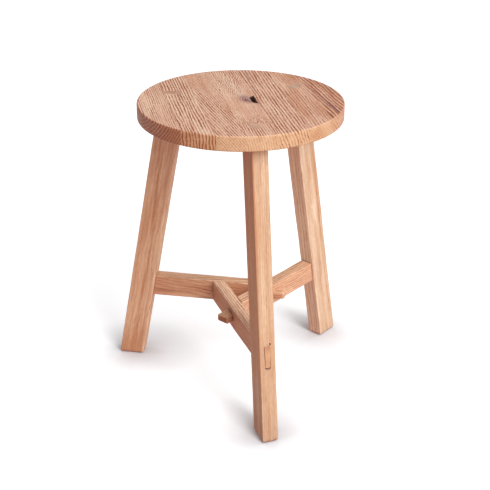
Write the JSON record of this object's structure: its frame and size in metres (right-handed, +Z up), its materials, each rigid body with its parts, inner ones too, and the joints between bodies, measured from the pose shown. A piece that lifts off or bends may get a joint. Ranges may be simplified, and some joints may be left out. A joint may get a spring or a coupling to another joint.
{
  "type": "wooden milking stool",
  "caption": "Round plank-seated milking stool on splayed legs with through tenons, its rails interlocked in a ring.",
  "frame": {"origin": "on the floor, under the middle of the stool's bounding box, which is 29 mm in front of the seat's axis and 0.4 mm to its left", "axes": "+Z up; the front leg points along -Y, and the seat's boards run along Y"},
  "size_m": [0.3692, 0.3584, 0.455],
  "materials": {
    "seat_board_1": "matt, open-grained",
    "seat_board_2": "matt, open-grained",
    "seat_board_3": "matt, open-grained",
    "seat_board_4": "matt, open-grained",
    "seat_board_5": "matt, open-grained",
    "seat_board_6": "matt, open-grained",
    "seat_board_7": "matt, open-grained",
    "leg_front": "matt, open-grained",
    "leg_right": "matt, open-grained",
    "leg_left": "matt, open-grained",
    "rail_front": "matt, open-grained",
    "rail_right": "matt, open-grained",
    "rail_left": "matt, open-grained"
  },
  "bodies": {
    "root": {"seat_board_1": "seat_board_1", "seat_board_2": "seat_board_2", "seat_board_3": "seat_board_3", "seat_board_4": "seat_board_4", "seat_board_5": "seat_board_5", "seat_board_6": "seat_board_6", "seat_board_7": "seat_board_7", "leg_front": "leg_front", "leg_right": "leg_right", "leg_left": "leg_left", "rail_front": "rail_front", "rail_right": "rail_right", "rail_left": "rail_left"}
  },
  "joints": []
}
